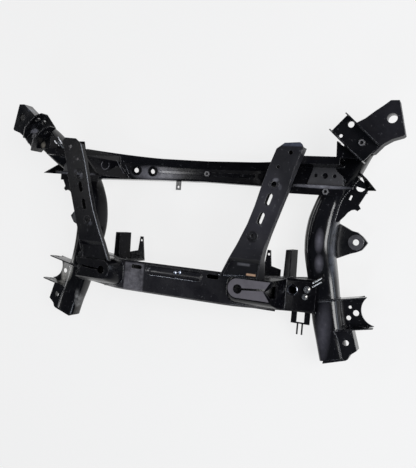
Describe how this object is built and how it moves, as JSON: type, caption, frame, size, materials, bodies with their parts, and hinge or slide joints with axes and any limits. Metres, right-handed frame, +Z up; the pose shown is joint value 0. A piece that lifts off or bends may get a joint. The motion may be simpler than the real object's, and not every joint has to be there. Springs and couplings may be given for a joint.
{
  "type": "subframe",
  "caption": "Welded steel suspension subframe: crossmembers between bent tube rails, with raised mounting horns, slotted braces and link brackets.",
  "frame": {"origin": "on the floor under the middle of the frame: centre of its box in X and Y, at its lowest point", "axes": "+X to the right across the vehicle, +Y forward towards the horns, +Z up"},
  "size_m": [1.12, 0.634, 0.273],
  "materials": {
    "black_paint": "gloss black paint over pressed steel",
    "bright_steel": "bright zinc plate"
  },
  "bodies": {
    "root": {"left_side_rail": "black_paint", "right_side_rail": "black_paint", "front_crossmember": "black_paint", "front_closing_plate": "black_paint", "rear_crossmember": "black_paint", "rear_lower_pressing": "black_paint", "left_corner_gusset": "black_paint", "right_corner_gusset": "black_paint", "left_gusset_plate": "black_paint", "right_gusset_plate": "black_paint", "left_horn_plate": "black_paint", "right_horn_plate": "black_paint", "left_horn_bracket": "black_paint", "right_horn_bracket": "black_paint", "left_brace": "black_paint", "right_brace": "black_paint", "left_tower": "black_paint", "right_tower": "black_paint", "left_front_link_bracket": "black_paint", "right_front_link_bracket": "black_paint", "left_side_ear": "black_paint", "right_side_ear": "black_paint", "left_rear_link_bracket": "black_paint", "right_rear_link_bracket": "black_paint", "left_rear_mount_plate": "black_paint", "right_rear_mount_plate": "black_paint", "left_arm_clevis": "black_paint", "right_arm_clevis": "black_paint", "left_pointed_tab": "black_paint", "right_pointed_tab": "black_paint", "weld_nuts": "black_paint", "hole_tab": "black_paint", "bright_studs": "bright_steel", "harness_bracket": "black_paint"}
  },
  "joints": []
}
